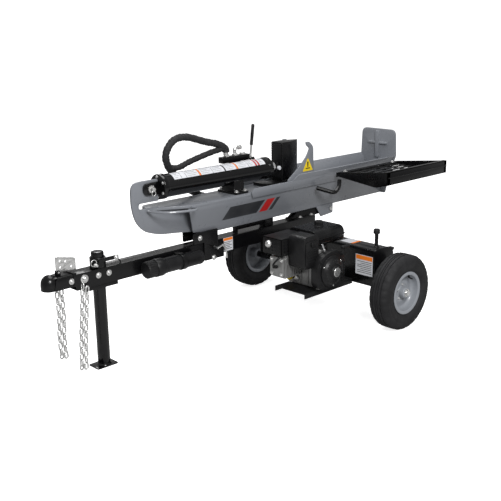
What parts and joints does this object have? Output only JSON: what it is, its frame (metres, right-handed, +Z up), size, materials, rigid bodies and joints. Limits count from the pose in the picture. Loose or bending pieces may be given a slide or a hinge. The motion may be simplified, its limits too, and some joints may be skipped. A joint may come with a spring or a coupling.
{
  "type": "towable log splitter",
  "caption": "Two-wheeled towable hydraulic log splitter: a tilting beam with ram wedge and foot plate, side log table, engine and pump, tank axle, tongue, ball coupler and jack.",
  "frame": {"origin": "middle of the machine's footprint, on the ground", "axes": "+X from the coupler towards the foot plate, along the beam; +Y away from the engine side; +Z up"},
  "size_m": [2.409, 1.221, 1.0472],
  "materials": {
    "beam_paint": "gloss grey powder coat",
    "frame_paint": "semi-gloss black powder coat",
    "zinc": "zinc plated",
    "moulded_plastic": "moulded black, fine grain",
    "satin_black": "satin black",
    "casting": "as cast",
    "pump_iron": "painted casting",
    "chrome": "polished",
    "hose_sleeve": "woven protective sleeve over rubber hose",
    "tyre": "treaded rubber",
    "rim_paint": "silver-grey enamel",
    "yellow_plastic": "moulded yellow"
  },
  "bodies": {
    "chassis": {"tongue": "frame_paint", "coupler_body": "frame_paint", "jack_plate": "frame_paint", "jack_sleeve": "frame_paint", "canister_bracket": "frame_paint", "latch_bracket": "frame_paint", "beam_rest": "frame_paint", "pivot_bracket": "frame_paint", "reservoir": "frame_paint", "fuel_tank": "frame_paint", "chain_bolt": "zinc", "chain_front": "zinc", "chain_rear": "zinc", "pivot_pin": "zinc", "axle_near": "zinc", "axle_far": "zinc", "canister": "moulded_plastic", "blower_housing": "moulded_plastic", "recoil_cover": "moulded_plastic", "air_cleaner": "moulded_plastic", "engine_plate": "satin_black", "muffler_guard": "satin_black", "crankcase": "casting", "cylinder_head": "casting", "pump": "pump_iron", "hose_lower": "hose_sleeve"},
    "beam": {"beam_web": "beam_paint", "beam_flange": "beam_paint", "beam_hull": "beam_paint", "wing_near": "beam_paint", "wing_far": "beam_paint", "stripper_near": "beam_paint", "stripper_far": "beam_paint", "foot_plate": "beam_paint", "log_table": "frame_paint", "table_arm": "frame_paint", "lift_handle": "beam_paint", "cylinder_barrel": "frame_paint", "cylinder_gland": "frame_paint", "cylinder_pin": "zinc", "cylinder_saddle": "frame_paint", "control_valve": "casting", "hose_upper": "hose_sleeve"},
    "ram": {"piston_rod": "chrome", "wedge": "frame_paint"},
    "valve_handle": {"valve_lever": "moulded_plastic"},
    "near_wheel": {"tyre_near": "tyre", "rim_near": "rim_paint"},
    "far_wheel": {"tyre_far": "tyre", "rim_far": "rim_paint"},
    "jack": {"jack_leg": "frame_paint"},
    "coupler_lever": {"coupler_latch": "zinc"},
    "jack_lock": {"jack_pin": "zinc"},
    "beam_lock": {"latch_pin": "zinc"},
    "oil_filler_cap": {"filler_cap": "moulded_plastic"},
    "petrol_cap": {"fuel_cap": "moulded_plastic"},
    "manual_cap": {"canister_cap": "moulded_plastic"},
    "engine_oil_plug": {"oil_plug": "yellow_plastic"},
    "starter_grip": {"recoil_handle": "moulded_plastic"},
    "throttle": {"throttle_lever": "chrome"}
  },
  "joints": [
    {"name": "beam_tilt", "type": "hinge", "parent": "chassis", "child": "beam", "pos_m": [0.7025, 0.1685, 0.506], "axis": [0, 1, 0], "range_deg": [0, 90]},
    {"name": "ram_stroke", "type": "slide", "parent": "beam", "child": "ram", "axis": [1, 0, 0], "range_m": [0, 0.61]},
    {"name": "valve_lever_swing", "type": "hinge", "parent": "beam", "child": "valve_handle", "pos_m": [0.1375, 0.2305, 0.872], "axis": [0, 1, 0], "range_deg": [-15, 15], "stiffness_Nm_per_rad": 4},
    {"name": "near_wheel_spin", "type": "hinge", "parent": "chassis", "child": "near_wheel", "pos_m": [0.4625, -0.5505, 0.202], "axis": [0, 1, 0], "continuous": true},
    {"name": "far_wheel_spin", "type": "hinge", "parent": "chassis", "child": "far_wheel", "pos_m": [0.4625, 0.5505, 0.202], "axis": [0, 1, 0], "continuous": true},
    {"name": "jack_height", "type": "slide", "parent": "chassis", "child": "jack", "axis": [0, 0, 1], "range_m": [0, 0.25]},
    {"name": "coupler_lever_lift", "type": "hinge", "parent": "chassis", "child": "coupler_lever", "pos_m": [-1.1205, 0.1685, 0.507], "axis": [0, 1, 0], "range_deg": [-70, 0]},
    {"name": "jack_lock_pull", "type": "slide", "parent": "chassis", "child": "jack_lock", "axis": [0, -1, 0], "range_m": [0, 0.02], "stiffness_N_per_m": 500},
    {"name": "beam_lock_pull", "type": "slide", "parent": "chassis", "child": "beam_lock", "axis": [0, -1, 0], "range_m": [0, 0.02], "stiffness_N_per_m": 500},
    {"name": "oil_filler_cap_twist", "type": "hinge", "parent": "chassis", "child": "oil_filler_cap", "pos_m": [0.4695, -0.3865, 0.497], "axis": [0, 0, 1], "range_deg": [0, 180]},
    {"name": "petrol_cap_twist", "type": "hinge", "parent": "chassis", "child": "petrol_cap", "pos_m": [0.2925, -0.1315, 0.532], "axis": [0, 0, 1], "range_deg": [0, 90]},
    {"name": "manual_cap_twist", "type": "hinge", "parent": "chassis", "child": "manual_cap", "pos_m": [-0.6825, 0.0795, 0.441], "axis": [-1, 0, 0], "range_deg": [0, 180]},
    {"name": "engine_oil_plug_twist", "type": "hinge", "parent": "chassis", "child": "engine_oil_plug", "pos_m": [0.1105, -0.0935, 0.262], "axis": [-1, 0, 0], "range_deg": [0, 180]},
    {"name": "starter_pull", "type": "slide", "parent": "chassis", "child": "starter_grip", "axis": [0, 0, 1], "range_m": [0, 0.05], "stiffness_N_per_m": 150},
    {"name": "throttle_swing", "type": "hinge", "parent": "chassis", "child": "throttle", "pos_m": [0.1445, -0.3005, 0.44], "axis": [0, 1, 0], "range_deg": [-20, 20]}
  ]
}
